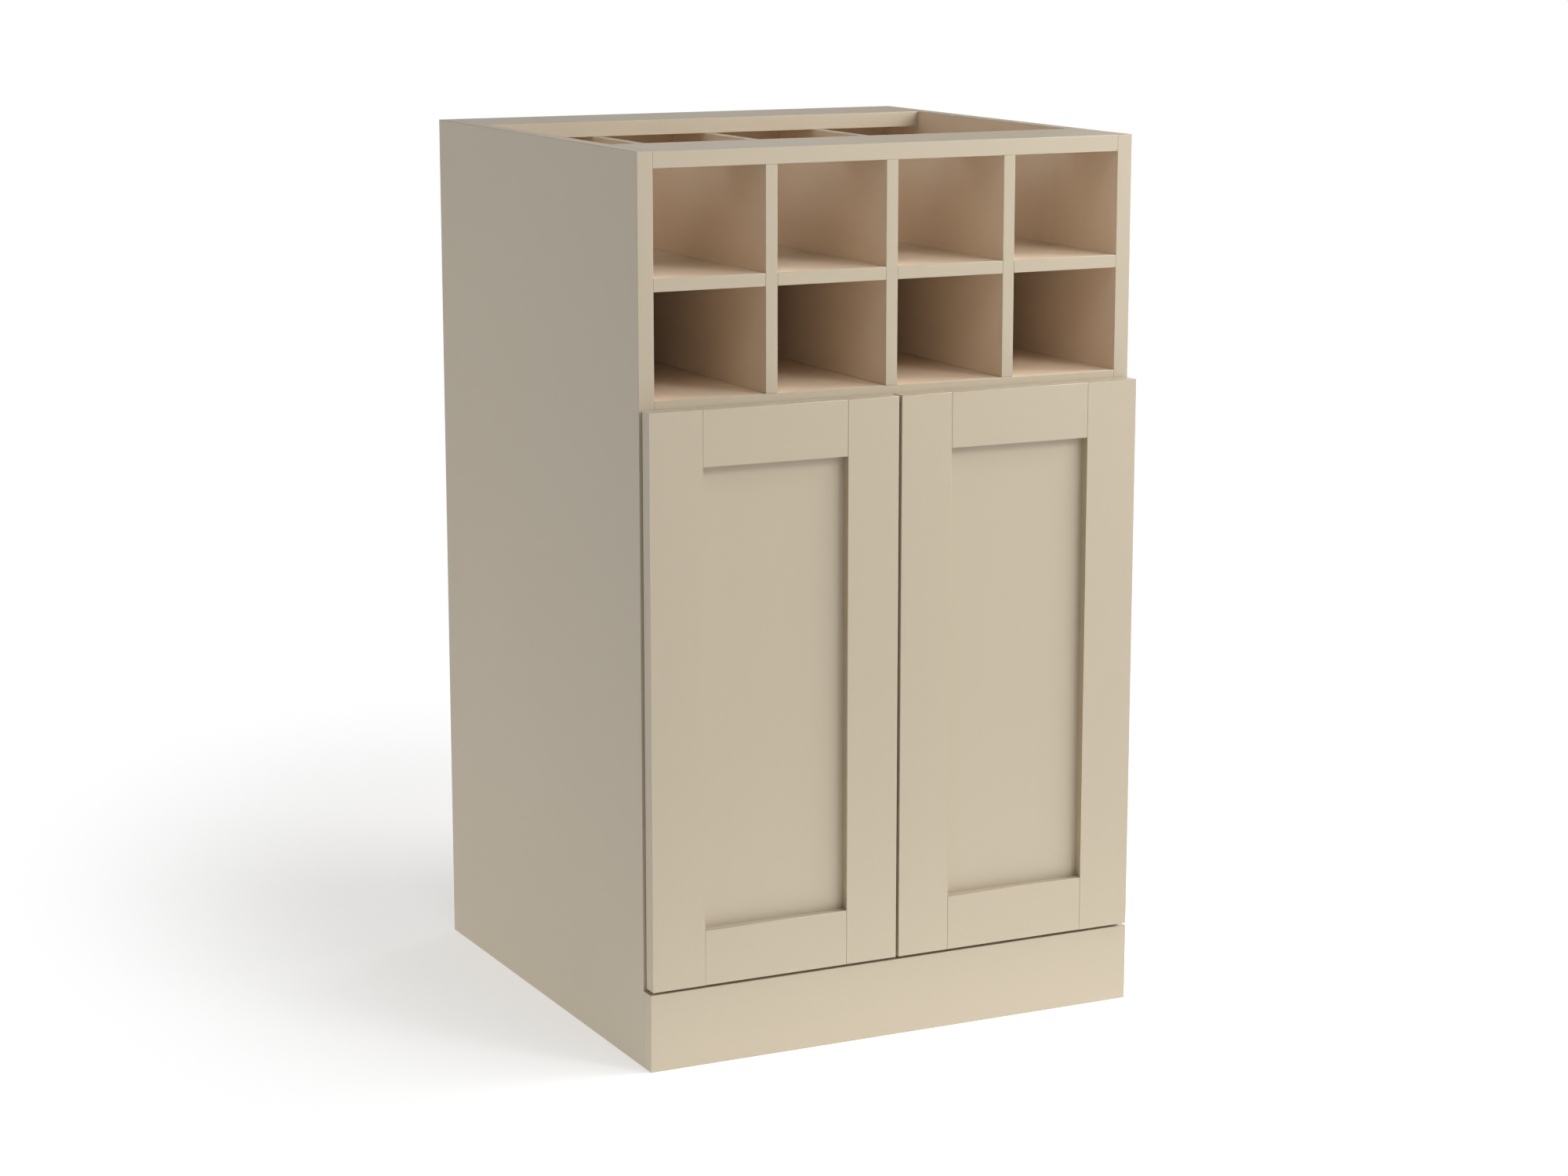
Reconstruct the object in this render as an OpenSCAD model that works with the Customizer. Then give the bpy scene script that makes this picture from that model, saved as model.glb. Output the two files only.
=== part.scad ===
// Wine cabinet: two rows of open bottle cells over a cupboard with two shaker doors.
// Millimetres, Z up. The origin is on the floor, midway across the width and midway
// between the door fronts and the back edge of the side panels.

/* [Carcass] */
// Width across the side panels
width = 600; // [520:5:760]
// Height from the floor to the top of the rails
height = 994; // [940:2:1100]
// Depth of the side panels, front edge to back edge
carcass_depth = 577; // [500:1:620]
// Thickness of the side panels, bottom, rack base and top rails
board_t = 18; // [17:0.5:20]
// Depth of each top rail, front to back
top_rail_depth = 111; // [96:1:150]
// Thickness of the back panel
back_t = 8; // [6:0.5:10]
// Free space behind the back panel
back_void = 14; // [10:1:20]
// How far the back panel enters the boards around it
back_groove = 6; // [4:0.5:8]

/* [Plinth] */
// Height of the plinth board
plinth_h = 87.5; // [80:0.5:150]
// Thickness of the plinth board
plinth_t = 19; // [16:0.5:21]
// Side of the square glue blocks behind the plinth board
block_w = 30; // [26:1:40]
// Height of the glue blocks
block_h = 70; // [60:1:78]

/* [Bottle rack] */
// Clear height from the rack base to the top rails
rack_clear_h = 244; // [220:2:280]
// Thickness of the rack shelf and dividers
rack_t = 14; // [12:0.5:18]

/* [Doors] */
// Thickness of the door frame
door_t = 20; // [19:0.5:24]
// Gap between the door backs and the carcass
door_back_gap = 2; // [2:0.1:3]
// Distance from the side panel's outer face to the door's edge
door_side_gap = 2; // [1:0.1:3]
// Gap between the two doors
door_middle_gap = 3.4; // [2:0.1:6]
// Strip of the rack base that shows above the doors
door_top_reveal = 8.8; // [6:0.1:9]
// Gap between the doors and the plinth board
door_bottom_gap = 3.6; // [2:0.1:5]
// Width of the stiles and rails
door_frame_w = 62; // [58:1:80]
// Thickness of the door panel
door_panel_t = 6; // [5:0.5:7]
// Depth of the panel's face behind the frame's face
door_panel_recess = 11; // [8:0.5:12]
// Depth of the groove in the stiles and rails
door_groove = 10; // [8:0.5:12]
// How far the rail tongues stop short of the door's top and bottom edges
tongue_inset = 8; // [5:0.5:12]
// Play of the panel at the bottom of each groove
panel_play = 0.8; // [0.5:0.1:0.9]
// Round on the hinge edge at the back, which clears the carcass as the door swings
door_edge_r = 3; // [3:0.1:4]

/* [Door buffers] */
// Radius of the buffers on the door backs
buffer_r = 3.5; // [2.5:0.1:4]
// Distance from the meeting edge to a buffer's centre
buffer_inset = 20; // [12:1:40]

/* [Hinges] */
// Distance from the door's top or bottom edge to the nearest hinge's centre
hinge_inset = 100; // [85:5:140]
// Diameter of the hinge cup
cup_d = 35; // [35:0.5:37]
// Wood left between the cup's bore and the door's edge
cup_edge = 3.5; // [3:0.1:4]
// Wall of the hinge cup
cup_wall = 0.8; // [0.6:0.1:1]
// Thickness of the cup's flange
flange_t = 1; // [0.8:0.1:1.2]
// Distance from the door's edge to the hinge pin
pivot_edge = 8; // [7.5:0.1:8]
// Distance from the door's back face to the hinge pin
pivot_depth = 10; // [10:0.1:11]
// Radius of the hinge pin
hinge_pin_r = 1.2; // [1:0.05:1.3]
// Wall of the arm's eye around the hinge pin
eye_wall = 0.75; // [0.6:0.05:0.8]
// Thickness of the hinge arm
arm_t = 2; // [1.6:0.1:2.4]
// Width of the arm's neck, where it enters the cup
arm_neck_w = 9; // [7:0.5:9]
// Width of the arm where it lies on its plate
arm_w = 14; // [12:0.5:16]
// Distance from the carcass front to the plate's screws
plate_line = 37; // [34:1:40]
// Length of the plate and of the arm on it
plate_l = 44; // [40:1:50]
// Spacing of the two screws of a plate
plate_pitch = 32; // [30:1:34]
// Thickness of the plate's wings
wing_t = 1.8; // [1.5:0.1:2]

/* [Cupboard shelf] */
// Thickness of the cupboard shelf
shelf_t = 18; // [15:0.5:22]
// Distance from the carcass front to the shelf's front edge
shelf_setback = 25; // [15:1:34]
// Free space at each end of the shelf and behind it
shelf_play = 0.9; // [0.5:0.1:1.5]
// Radius of the shelf pin holes
pin_hole_r = 2.5; // [2:0.1:3]
// Depth of the shelf pin holes
pin_hole_depth = 9; // [7:0.5:11]
// Spacing of the shelf pin holes
pin_pitch = 32; // [25:1:36]
// Number of holes in a column
pin_rows = 9; // [5:2:11]
// Distance from the front, and from the back panel, to a column of holes
pin_column = 37; // [35:1:60]
// Thickness of the tongue that carries the shelf
pin_tongue_t = 3; // [2:0.5:4]
// Length of that tongue
pin_tongue_l = 9; // [7:0.5:12]

/* [Dowels and cam fittings] */
// Radius of the carcass dowels
dowel_r = 4; // [3:0.25:5]
// Length of the carcass dowels
dowel_l = 30; // [26:1:34]
// Length of a carcass dowel inside the side panel
dowel_in_panel = 10; // [8:0.5:12]
// Radius of the rack dowels
rack_dowel_r = 3; // [2:0.25:4]
// Length of the rack dowels
rack_dowel_l = 20; // [16:1:22]
// Radius of the cam housings
cam_r = 7.5; // [7:0.25:8]
// Height of the cam housings
cam_h = 13.5; // [13:0.25:14]
// Distance from the board's end to the cam's centre
cam_setback = 34; // [30:1:40]
// Radius of the cam bolt's shank
bolt_r = 3.4; // [2.6:0.1:3.6]
// Radius of the cam bolt's thread in the side panel
bolt_thread_r = 2.5; // [2:0.1:3]
// Length of that thread
bolt_thread_l = 11; // [9:0.5:13]
// Distance from the front or back of a full-depth board to its first dowel
joint_inset = 40; // [30:1:60]
// Distance from the edge of a top rail to its dowel
rail_joint_inset = 30; // [28:0.5:33]
// Distance from a dowel to the cam next to it on a full-depth board
joint_step = 32; // [26:1:60]

/* [Worktop fixing] */
// Radius of the screw holes through the top rails
worktop_hole_r = 2.5; // [2:0.1:3.5]

/* [Fits] */
// Radial clearance of dowels, bolts, screws and hinge pins in their holes
fit = 0.05; // [0.02:0.01:0.1]
// Clearance on each face of a board in its groove or slot
groove_fit = 0.1; // [0.05:0.01:0.2]
// Gap that soft or swinging pieces keep from what they nearly touch
soft_gap = 0.3; // [0.2:0.05:0.5]

/* [Hidden] */
$fn = 48;
PAINT = [0.80, 0.745, 0.645];
CORE = [0.62, 0.52, 0.44];
STEEL = [0.72, 0.72, 0.72];
BEECH = [0.80, 0.66, 0.47];

// Past a face, so that a cut leaves no skin
over = 1;

// Carcass, in a frame with X from the left outer face, Y from the front edges, Z from the floor
inner_w = width - 2 * board_t;
carcass_front = door_back_gap + door_t - (carcass_depth + door_back_gap + door_t) / 2;
back_y = carcass_depth - back_void - back_t;
back_rail_y = carcass_depth - top_rail_depth;
rail_z = height - board_t;
rack_z = rail_z - rack_clear_h;
base_z = rack_z - board_t;
floor_z = plinth_h + board_t;

// Bottle rack
divider_count = 3;
cell_w = (inner_w - divider_count * rack_t) / (divider_count + 1);
cell_h = (rack_clear_h - rack_t) / 2;
rack_shelf_z = rack_z + cell_h;
halving_y = back_y / 2;
function divider_x(i) = board_t + cell_w + i * (cell_w + rack_t);
rack_dowel_ys = [top_rail_depth / 2, carcass_depth - top_rail_depth / 2];

// Each row is a board joined to the side panels: its mid height, its dowels, its cams
deep_dowels = [joint_inset, back_y - joint_inset];
deep_cams = [joint_inset + joint_step, back_y - joint_inset - joint_step];
rail_dowels = [rail_joint_inset, top_rail_depth - rail_joint_inset];
bottom_joint = [plinth_h + board_t / 2, deep_dowels, deep_cams];
base_joint = [base_z + board_t / 2, deep_dowels, deep_cams];
front_rail_joint = [rail_z + board_t / 2, rail_dowels, [top_rail_depth / 2]];
back_rail_joint = [rail_z + board_t / 2, [for (y = rail_dowels) back_rail_y + y],
    [back_rail_y + top_rail_depth / 2]];
board_joints = [bottom_joint, base_joint, front_rail_joint, back_rail_joint];

// Cam fitting: the bolt's neck and head sit in a round pocket in the cam
head_r = bolt_r - 0.2;
head_l = 4;
neck_r = head_r - 1.2;
pocket_end = head_l / 2 + 0.2;

// Doors, drawn on the left and mirrored for the right
door_w = (width - door_middle_gap) / 2 - door_side_gap;
door_z = plinth_h + door_bottom_gap;
door_h = rack_z - door_top_reveal - door_z;
door_front_y = -door_back_gap - door_t;
opening_w = door_w - 2 * door_frame_w;
opening_h = door_h - 2 * door_frame_w;
panel_y = door_front_y + door_panel_recess;
panel_reach = door_groove - panel_play;

// Hinges: a round cup in the stile, with a cranked arm on one pin near the cup's edge
cup_r = cup_d / 2;
eye_r = hinge_pin_r + fit + eye_wall;
cup_floor_gap = 0.2;
cup_depth = pivot_depth + eye_r + cup_floor_gap + cup_wall;
cup_x = door_side_gap + cup_edge + cup_r;
pivot_x = door_side_gap + pivot_edge;
pivot_y = -door_back_gap - pivot_depth;
hinge_zs = [door_z + hinge_inset, door_z + door_h - hinge_inset];
// The arm stands just outside the circle that the door's rounded back edge sweeps
sweep_r = norm([pivot_edge - door_edge_r, pivot_depth - door_edge_r]) + door_edge_r;
arm_clear = 0.4;
arm_x = pivot_x + sweep_r + arm_clear;
plate_t = arm_x - board_t;
plate_y = plate_line - plate_l * 0.4;
plate_hole_r = 2.5;
plate_hole_depth = 12;
plate_screw_l = 11.5;
plate_wing_r = 7;
plate_head_r = 4.2;
plate_head_t = 1.4;
arm_screw_r = 1.9;
arm_screw_inset = 11;
arm_screw_y = plate_y + plate_l - arm_screw_inset;
arm_head_r = 3.4;
arm_head_t = 1.8;
wing_offset = 9.5;
wing_w = 13;
wing_half = 30;
cup_screw_z = 24;
cup_screw_r = 1.5;
cup_screw_l = 12;
cup_head_r = 3.2;
cup_head_t = 0.9;

// Cupboard shelf and its holes
pin_columns = [pin_column, back_y - pin_column];
pin_first_z = (floor_z + base_z) / 2 - (pin_rows - 1) / 2 * pin_pitch;
shelf_pin_z = (floor_z + base_z) / 2;
pin_collar_r = pin_hole_r + 1.5;
pin_collar_t = 0.8;
pin_end_gap = 1;
shelf_z = shelf_pin_z + pin_tongue_t / 2;

// Plinth blocks and their screws
block_screw_zs = [block_h * 0.25, block_h * 0.75];
// How far the screws into the plinth board stand above those into the side panel
block_screw_lift = 10;
block_screw_r = 2;
block_screw_grip = 12;
block_head_r = 4;
block_head_t = 2.4;

// Worktop screws stand over the middle of the outer cells
worktop_x = board_t + cell_w / 2;

// Moves a piece from the carcass frame to the part's frame
module placed() {
    translate([-width / 2, carcass_front, 0]) children();
}

// Draws a left-hand piece on the side that is named
module on_side(side) {
    mirror([side == "right" ? 1 : 0, 0, 0]) placed() children();
}

// Draws a left-hand piece on both sides
module on_both_sides() {
    on_side("left") children();
    on_side("right") children();
}

// Cylinder along X, Y or Z from a point
module rod_x(x, y, z, r, l) {
    translate([x, y, z]) rotate([0, 90, 0]) cylinder(r = r, h = l);
}

module rod_y(x, y, z, r, l) {
    translate([x, y, z]) rotate([-90, 0, 0]) cylinder(r = r, h = l);
}

module rod_z(x, y, z, r, l) {
    translate([x, y, z]) cylinder(r = r, h = l);
}

// Box from its low corner to its high corner
module box(low, high) {
    translate(low) cube(high - low);
}

// Dowels of one board at the left side panel; extra is the clearance of their holes
module end_dowels(joint, extra) {
    for (y = joint[1])
        rod_x(board_t - dowel_in_panel - extra, y, joint[0], dowel_r + extra, dowel_l + 2 * extra);
}

// Cam bolts of one board at the left side panel
module cam_bolt(joint) {
    for (y = joint[2]) {
        rod_x(board_t - bolt_thread_l, y, joint[0], bolt_thread_r, bolt_thread_l);
        rod_x(board_t, y, joint[0], bolt_r, cam_setback - cam_r - fit);
        rod_x(board_t, y, joint[0], neck_r, cam_setback);
        rod_x(board_t + cam_setback - head_l / 2, y, joint[0], head_r, head_l);
    }
}

// Holes for the cam bolts in the left side panel
module cam_bolt_holes_in_panel(joint) {
    for (y = joint[2])
        rod_x(board_t - bolt_thread_l - fit, y, joint[0], bolt_thread_r + fit, bolt_thread_l + over);
}

// Bores for the cam fittings in the left end of a board, open at its underside
module cam_bores(joint) {
    for (y = joint[2]) {
        rod_x(board_t - over, y, joint[0], bolt_r + fit, cam_setback + over);
        rod_z(board_t + cam_setback, y, joint[0] - board_t / 2 - over, cam_r + fit, cam_h + over + fit);
    }
}

module cam_housing(joint) {
    for (y = joint[2])
        difference() {
            rod_z(board_t + cam_setback, y, joint[0] - board_t / 2, cam_r, cam_h);
            rod_x(board_t + cam_setback - cam_r - over, y, joint[0], bolt_r, cam_r + over + pocket_end);
            // Screwdriver slot in the underside
            box([board_t + cam_setback - cam_r * 0.7, y - 0.7, joint[0] - board_t / 2 - over],
                [board_t + cam_setback + cam_r * 0.7, y + 0.7, joint[0] - board_t / 2 + 1.4]);
        }
}

// Holes in both ends of a board for its dowels and cam fittings
module end_holes(joint) {
    end_dowels(joint, fit);
    cam_bores(joint);
    translate([width, 0, 0]) mirror([1, 0, 0]) {
        end_dowels(joint, fit);
        cam_bores(joint);
    }
}

// Dowels between the rack shelf and the left side panel
module rack_shelf_dowels(extra) {
    for (y = deep_dowels)
        rod_x(board_t - rack_dowel_l * 0.4 - extra, y, rack_shelf_z + rack_t / 2,
            rack_dowel_r + extra, rack_dowel_l + 2 * extra);
}

// Dowels above and below one divider
module divider_dowels(i, extra) {
    for (y = rack_dowel_ys, z = [rack_z, rail_z])
        rod_z(divider_x(i) + rack_t / 2, y, z - rack_dowel_l / 2 - extra,
            rack_dowel_r + extra, rack_dowel_l + 2 * extra);
}

module all_divider_dowels(extra) {
    for (i = [0 : divider_count - 1]) divider_dowels(i, extra);
}

module worktop_holes(y) {
    for (x = [worktop_x, width - worktop_x])
        rod_z(x, y, rail_z - over, worktop_hole_r, board_t + 2 * over);
}

// Groove for the back panel, cut from the boards around it
module back_groove_cut() {
    box([board_t - back_groove - groove_fit, back_y - groove_fit, floor_z - back_groove - groove_fit],
        [width - board_t + back_groove + groove_fit, back_y + back_t + groove_fit,
            rail_z + back_groove + groove_fit]);
}

// Screws through a glue block: two into the side panel, two into the plinth board
module block_screws(extra) {
    for (z = block_screw_zs) {
        y = block_w * 0.65;
        x = board_t + block_w * 0.65;
        rod_x(board_t - block_screw_grip - extra, y, z, block_screw_r + extra,
            block_screw_grip + block_w - block_head_t + extra);
        rod_x(board_t + block_w - block_head_t, y, z, block_head_r + extra, block_head_t + extra);
        rod_y(x, -block_screw_grip - extra, z + block_screw_lift, block_screw_r + extra,
            block_screw_grip + block_w - block_head_t + extra);
        rod_y(x, block_w - block_head_t, z + block_screw_lift, block_head_r + extra, block_head_t + extra);
    }
}

module hinge_plate_holes() {
    for (z = hinge_zs, dz = [-plate_pitch / 2, plate_pitch / 2])
        rod_x(board_t - plate_hole_depth, plate_line, z + dz, plate_hole_r, plate_hole_depth + over);
}

module shelf_pin_holes() {
    for (y = pin_columns, i = [0 : pin_rows - 1])
        rod_x(board_t - pin_hole_depth, y, pin_first_z + i * pin_pitch, pin_hole_r, pin_hole_depth + over);
}

module side_panel(side) {
    color(PAINT) on_side(side) difference() {
        box([0, 0, 0], [board_t, carcass_depth, height]);
        back_groove_cut();
        for (joint = board_joints) {
            end_dowels(joint, fit);
            cam_bolt_holes_in_panel(joint);
        }
        rack_shelf_dowels(fit);
        hinge_plate_holes();
        shelf_pin_holes();
        block_screws(fit);
    }
}

module bottom_panel() {
    color(PAINT) placed() difference() {
        box([board_t, 0, plinth_h], [width - board_t, carcass_depth, floor_z]);
        back_groove_cut();
        end_holes(bottom_joint);
    }
}

module rack_base() {
    color(PAINT) placed() difference() {
        box([board_t, 0, base_z], [width - board_t, back_y - groove_fit, rack_z]);
        end_holes(base_joint);
        all_divider_dowels(fit);
    }
}

module back_panel() {
    color(CORE) placed()
        box([board_t - back_groove, back_y, floor_z - back_groove],
            [width - board_t + back_groove, back_y + back_t, rail_z + back_groove]);
}

module top_rail_front() {
    color(PAINT) placed() difference() {
        box([board_t, 0, rail_z], [width - board_t, top_rail_depth, height]);
        end_holes(front_rail_joint);
        all_divider_dowels(fit);
        worktop_holes(top_rail_depth / 2);
    }
}

module top_rail_back() {
    color(PAINT) placed() difference() {
        box([board_t, back_rail_y, rail_z], [width - board_t, carcass_depth, height]);
        back_groove_cut();
        end_holes(back_rail_joint);
        all_divider_dowels(fit);
        worktop_holes(carcass_depth - top_rail_depth / 2);
    }
}

// The shelf is slotted from the front, each divider from the back
module rack_shelf() {
    color(CORE) placed() difference() {
        box([board_t, 0, rack_shelf_z], [width - board_t, back_y - groove_fit, rack_shelf_z + rack_t]);
        for (i = [0 : divider_count - 1])
            box([divider_x(i) - groove_fit, -over, rack_shelf_z - over],
                [divider_x(i) + rack_t + groove_fit, halving_y + groove_fit, rack_shelf_z + rack_t + over]);
        rack_shelf_dowels(fit);
        translate([width, 0, 0]) mirror([1, 0, 0]) rack_shelf_dowels(fit);
    }
}

module rack_divider(i) {
    color(CORE) placed() difference() {
        box([divider_x(i), 0, rack_z], [divider_x(i) + rack_t, back_y - groove_fit, rail_z]);
        box([divider_x(i) - over, halving_y, rack_shelf_z - groove_fit],
            [divider_x(i) + rack_t + over, back_y + over, rack_shelf_z + rack_t + groove_fit]);
        divider_dowels(i, fit);
    }
}

module rack_divider_left() {
    rack_divider(0);
}

module rack_divider_middle() {
    rack_divider(1);
}

module rack_divider_right() {
    rack_divider(2);
}

module cupboard_shelf() {
    color(CORE) placed()
        box([board_t + shelf_play, shelf_setback, shelf_z],
            [width - board_t - shelf_play, back_y - shelf_play, shelf_z + shelf_t]);
}

module shelf_pins() {
    color(STEEL) on_both_sides() for (y = pin_columns) {
        rod_x(board_t - pin_hole_depth + pin_end_gap, y, shelf_pin_z, pin_hole_r - fit,
            pin_hole_depth - pin_end_gap + pin_collar_t / 2);
        rod_x(board_t, y, shelf_pin_z - (pin_collar_r - pin_tongue_t / 2), pin_collar_r, pin_collar_t);
        box([board_t, y - pin_collar_r, shelf_z - pin_tongue_t],
            [board_t + pin_tongue_l, y + pin_collar_r, shelf_z]);
    }
}

module plinth_board() {
    color(PAINT) placed() difference() {
        box([0, -plinth_t, 0], [width, 0, plinth_h]);
        block_screws(fit);
        translate([width, 0, 0]) mirror([1, 0, 0]) block_screws(fit);
    }
}

module plinth_blocks() {
    color(BEECH) on_both_sides() difference() {
        box([board_t, 0, 0], [board_t + block_w, block_w, block_h]);
        block_screws(fit);
    }
}

module plinth_screws() {
    color(STEEL) on_both_sides() block_screws(0);
}

module carcass_dowels() {
    color(BEECH) on_both_sides() for (joint = board_joints) end_dowels(joint, 0);
}

module rack_dowels() {
    color(BEECH) {
        on_both_sides() rack_shelf_dowels(0);
        placed() all_divider_dowels(0);
    }
}

module cam_housings() {
    color(STEEL) on_both_sides() for (joint = board_joints) cam_housing(joint);
}

module cam_bolts() {
    color(STEEL) on_both_sides() for (joint = board_joints) cam_bolt(joint);
}

// Plate screwed to the side panel: a raised bed for the arm, and two wings
module hinge_plates(side) {
    color(STEEL) on_side(side) for (z = hinge_zs) difference() {
        union() {
            box([board_t, plate_y, z - arm_w / 2], [arm_x, plate_y + plate_l, z + arm_w / 2]);
            box([board_t, plate_line - plate_wing_r, z - plate_pitch / 2],
                [board_t + wing_t, plate_line + plate_wing_r, z + plate_pitch / 2]);
            for (dz = [-plate_pitch / 2, plate_pitch / 2])
                rod_x(board_t, plate_line, z + dz, plate_wing_r, wing_t);
        }
        for (dz = [-plate_pitch / 2, plate_pitch / 2])
            rod_x(board_t - over, plate_line, z + dz, plate_hole_r, wing_t + 2 * over);
        rod_x(board_t - over, arm_screw_y, z, arm_screw_r + fit, plate_t + 2 * over);
    }
}

// Cranked arm: it lies on the plate, enters the cup and turns to the pin's eye
module hinge_arms(side) {
    color(STEEL) on_side(side) for (z = hinge_zs) difference() {
        union() {
            box([arm_x, plate_y, z - arm_w / 2], [arm_x + arm_t, plate_y + plate_l, z + arm_w / 2]);
            box([arm_x, pivot_y - eye_r, z - arm_neck_w / 2], [arm_x + arm_t, plate_y, z + arm_neck_w / 2]);
            box([pivot_x, pivot_y - eye_r, z - arm_neck_w / 2],
                [arm_x + arm_t, pivot_y - eye_r + arm_t, z + arm_neck_w / 2]);
            rod_z(pivot_x, pivot_y, z - arm_neck_w / 2, eye_r, arm_neck_w);
        }
        rod_z(pivot_x, pivot_y, z - arm_neck_w / 2 - over, hinge_pin_r + fit, arm_neck_w + 2 * over);
        rod_x(arm_x - over, arm_screw_y, z, arm_screw_r + fit, arm_t + 2 * over);
    }
}

module plate_screws() {
    color(STEEL) on_both_sides() for (z = hinge_zs, dz = [-plate_pitch / 2, plate_pitch / 2]) {
        rod_x(board_t + wing_t - plate_screw_l, plate_line, z + dz, plate_hole_r - fit, plate_screw_l);
        rod_x(board_t + wing_t, plate_line, z + dz, plate_head_r, plate_head_t);
    }
}

module arm_screws() {
    color(STEEL) on_both_sides() for (z = hinge_zs) {
        rod_x(board_t + fit, arm_screw_y, z, arm_screw_r, plate_t + arm_t - fit);
        rod_x(arm_x + arm_t, arm_screw_y, z, arm_head_r, arm_head_t);
    }
}

// Groove along a stile's inner edge, stopped short of its ends
module stile_groove(x) {
    box([x, panel_y - groove_fit, door_z + tongue_inset - groove_fit],
        [x + door_groove + over, panel_y + door_panel_t + groove_fit,
            door_z + door_h - tongue_inset + groove_fit]);
}

module cup_bores() {
    for (z = hinge_zs) {
        rod_y(cup_x, -door_back_gap - cup_depth - fit, z, cup_r + fit, cup_depth + over);
        for (dz = [-cup_screw_z, cup_screw_z])
            rod_y(cup_x + wing_offset, -door_back_gap - cup_screw_l - fit, z + dz,
                cup_screw_r + fit, cup_screw_l + over);
    }
}

module hinge_stile(side) {
    color(PAINT) on_side(side) difference() {
        box([door_side_gap, door_front_y, door_z],
            [door_side_gap + door_frame_w, -door_back_gap, door_z + door_h]);
        difference() {
            box([door_side_gap - over, -door_back_gap - door_edge_r, door_z - over],
                [door_side_gap + door_edge_r, -door_back_gap + over, door_z + door_h + over]);
            rod_z(door_side_gap + door_edge_r, -door_back_gap - door_edge_r, door_z - 2 * over,
                door_edge_r, door_h + 4 * over);
        }
        stile_groove(door_side_gap + door_frame_w - door_groove);
        cup_bores();
    }
}

module meeting_stile(side) {
    x = door_side_gap + door_w - door_frame_w;
    color(PAINT) on_side(side) difference() {
        box([x, door_front_y, door_z], [x + door_frame_w, -door_back_gap, door_z + door_h]);
        stile_groove(x - over);
    }
}

// A rail with a tongue at each end; up is 1 where its groove faces up, -1 where it faces down
module door_rail(side, z, up) {
    x = door_side_gap + door_frame_w;
    tongue_l = door_groove - panel_play;
    tongue_low = up > 0 ? z + tongue_inset : z;
    groove_z = up > 0 ? z + door_frame_w - door_groove : z - over;
    color(PAINT) on_side(side) difference() {
        union() {
            box([x, door_front_y, z], [x + opening_w, -door_back_gap, z + door_frame_w]);
            box([x - tongue_l, panel_y, tongue_low],
                [x + opening_w + tongue_l, panel_y + door_panel_t, tongue_low + door_frame_w - tongue_inset]);
        }
        box([x - tongue_l - over, panel_y - groove_fit, groove_z],
            [x + opening_w + tongue_l + over, panel_y + door_panel_t + groove_fit,
                groove_z + door_groove + over]);
    }
}

module door_panel(side) {
    x = door_side_gap + door_frame_w;
    z = door_z + door_frame_w;
    color(PAINT) on_side(side)
        box([x - panel_reach, panel_y, z - panel_reach],
            [x + opening_w + panel_reach, panel_y + door_panel_t, z + opening_h + panel_reach]);
}

module hinge_cups(side) {
    color(STEEL) on_side(side) for (z = hinge_zs) difference() {
        union() {
            rod_y(cup_x, -door_back_gap - cup_depth, z, cup_r, cup_depth + flange_t / 2);
            box([cup_x + wing_offset - wing_w / 2, -door_back_gap, z - wing_half],
                [cup_x + wing_offset + wing_w / 2, -door_back_gap + flange_t, z + wing_half]);
        }
        rod_y(cup_x, -door_back_gap - cup_depth + cup_wall, z, cup_r - cup_wall, cup_depth + over);
        rod_z(pivot_x, pivot_y, z - cup_r, hinge_pin_r + fit, cup_d);
        for (dz = [-cup_screw_z, cup_screw_z])
            rod_y(cup_x + wing_offset, -door_back_gap - over, z + dz, cup_screw_r + fit, flange_t + 2 * over);
    }
}

// Each pin is held in the cup's wall, and its ends are flush with the cup's round outside
module hinge_pins(side) {
    color(STEEL) on_side(side) for (z = hinge_zs) intersection() {
        rod_z(pivot_x, pivot_y, z - cup_r, hinge_pin_r, cup_d);
        rod_y(cup_x, -door_back_gap - cup_depth, z, cup_r, cup_depth);
    }
}

module cup_screws(side) {
    color(STEEL) on_side(side) for (z = hinge_zs, dz = [-cup_screw_z, cup_screw_z]) {
        rod_y(cup_x + wing_offset, -door_back_gap - cup_screw_l, z + dz, cup_screw_r, cup_screw_l + flange_t);
        rod_y(cup_x + wing_offset, -door_back_gap + flange_t, z + dz, cup_head_r, cup_head_t);
    }
}

// Soft discs that meet the rack base and the bottom panel
module door_buffers(side) {
    top_z = (base_z + door_z + door_h) / 2;
    low_z = (door_z + floor_z) / 2;
    color("white") on_side(side) for (z = [low_z, top_z])
        rod_y(door_side_gap + door_w - buffer_inset, -door_back_gap, z, buffer_r, door_back_gap - soft_gap);
}

side_panel("left");  // side_panel_left
side_panel("right");  // side_panel_right
bottom_panel();
rack_base();
back_panel();
top_rail_front();
top_rail_back();
rack_shelf();
rack_divider_left();
rack_divider_middle();
rack_divider_right();
cupboard_shelf();
shelf_pins();
plinth_board();
plinth_blocks();
plinth_screws();
carcass_dowels();
rack_dowels();
cam_housings();
cam_bolts();
hinge_plates("left");  // hinge_plates_left
hinge_plates("right");  // hinge_plates_right
hinge_arms("left");  // hinge_arms_left
hinge_arms("right");  // hinge_arms_right
plate_screws();
arm_screws();
hinge_stile("left");  // hinge_stile_left
meeting_stile("left");  // meeting_stile_left
door_rail("left", door_z + door_h - door_frame_w, -1);  // door_top_rail_left
door_rail("left", door_z, 1);  // door_bottom_rail_left
door_panel("left");  // door_panel_left
hinge_cups("left");  // hinge_cups_left
hinge_pins("left");  // hinge_pins_left
cup_screws("left");  // cup_screws_left
door_buffers("left");  // door_buffers_left
hinge_stile("right");  // hinge_stile_right
meeting_stile("right");  // meeting_stile_right
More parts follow.
